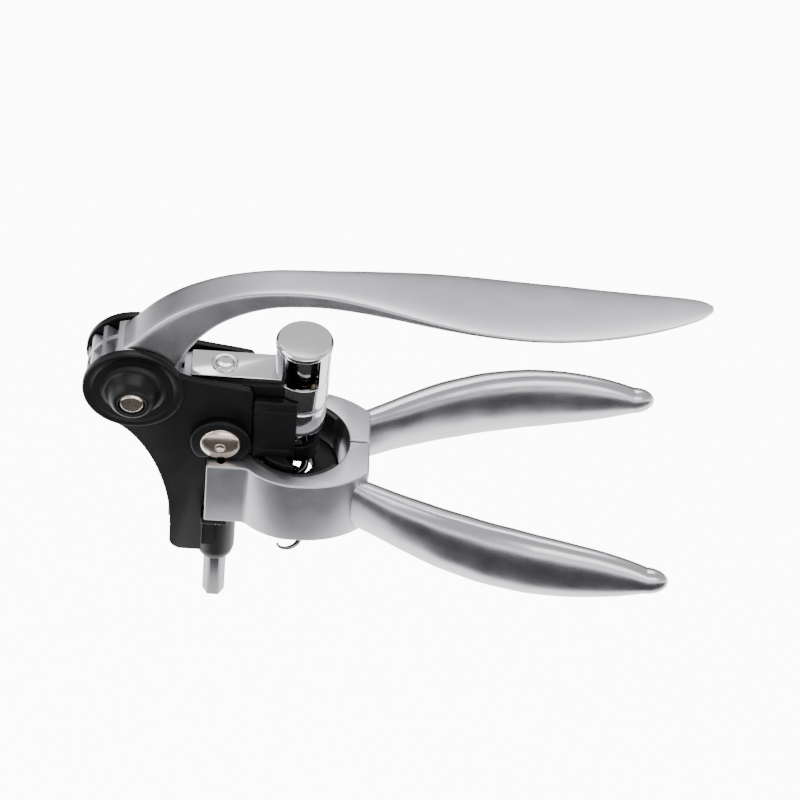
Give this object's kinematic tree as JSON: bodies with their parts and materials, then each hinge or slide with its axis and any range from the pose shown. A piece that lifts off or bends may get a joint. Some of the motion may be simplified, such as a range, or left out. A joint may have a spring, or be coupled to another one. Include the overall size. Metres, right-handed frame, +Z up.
{
  "type": "lever corkscrew",
  "caption": "Lever corkscrew with a black geared frame, long cast lever, chrome worm can and two horn-shaped clamp grips.",
  "frame": {"origin": "on the worm axis, a quarter of the way up the clamp ring, where a bottle's lip is gripped", "axes": "+Z up along the worm, +X from the hub towards the grips"},
  "size_m": [0.1854, 0.084, 0.1387],
  "materials": {
    "black_enamel": "satin",
    "black_plastic": "satin",
    "cast_alloy": "satin",
    "chrome": "polished",
    "nickel": "satin",
    "liner_rubber": "matte"
  },
  "bodies": {
    "frame": {"right_side_plate": "black_enamel", "left_side_plate": "black_enamel", "guide_tube": "black_enamel", "frame_spacer": "black_enamel", "hub_axle": "nickel", "hub_washers": "nickel", "hub_screws": "nickel", "side_screws": "nickel", "screw_sleeves": "nickel", "rod_bush": "nickel", "nut_block": "black_plastic", "worm_nut": "nickel", "bottle_rest": "black_plastic", "jaw_pins": "chrome", "rest_screws": "nickel"},
    "lever": {"lever_arm": "cast_alloy", "drive_gear": "cast_alloy"},
    "carriage": {"rack": "cast_alloy", "rack_dowels": "nickel", "carriage_bridge": "black_plastic", "top_plate": "chrome", "rod_rivet": "chrome", "guide_rod": "chrome", "worm_can": "chrome", "can_cap": "chrome", "can_core": "chrome", "thrust_washer": "nickel"},
    "worm_unit": {"worm": "chrome", "worm_shank": "chrome", "worm_chuck": "chrome", "chuck_screw": "nickel", "spindle_clip": "nickel"},
    "right_clamp": {"right_jaw": "cast_alloy", "right_grip": "cast_alloy", "right_liner": "liner_rubber"},
    "left_clamp": {"left_jaw": "cast_alloy", "left_grip": "cast_alloy", "left_liner": "liner_rubber"}
  },
  "joints": [
    {"name": "lever_swing", "type": "hinge", "parent": "frame", "child": "lever", "pos_m": [-0.0505, 0, 0.0435], "axis": [0, -1, 0], "range_deg": [0, 190]},
    {"name": "carriage_slide", "type": "slide", "parent": "frame", "child": "carriage", "axis": [0, 0, 1], "range_m": [0, 0.0432]},
    {"name": "worm_spin", "type": "hinge", "parent": "carriage", "child": "worm_unit", "pos_m": [0, 0, 0.031], "axis": [0, 0, 1], "range_deg": [0, 1830]},
    {"name": "right_clamp_open", "type": "hinge", "parent": "frame", "child": "right_clamp", "pos_m": [-0.023, -0.012, 0], "axis": [0, 0, -1], "range_deg": [0, 20]},
    {"name": "left_clamp_open", "type": "hinge", "parent": "frame", "child": "left_clamp", "pos_m": [-0.023, 0.012, 0], "axis": [0, 0, 1], "range_deg": [0, 20]}
  ],
  "couplings": [
    {"joint": "carriage_slide", "follows": "lever_swing", "m_per_rad": 0.013},
    {"joint": "worm_spin", "follows": "lever_swing", "ratio": 9.6095}
  ]
}
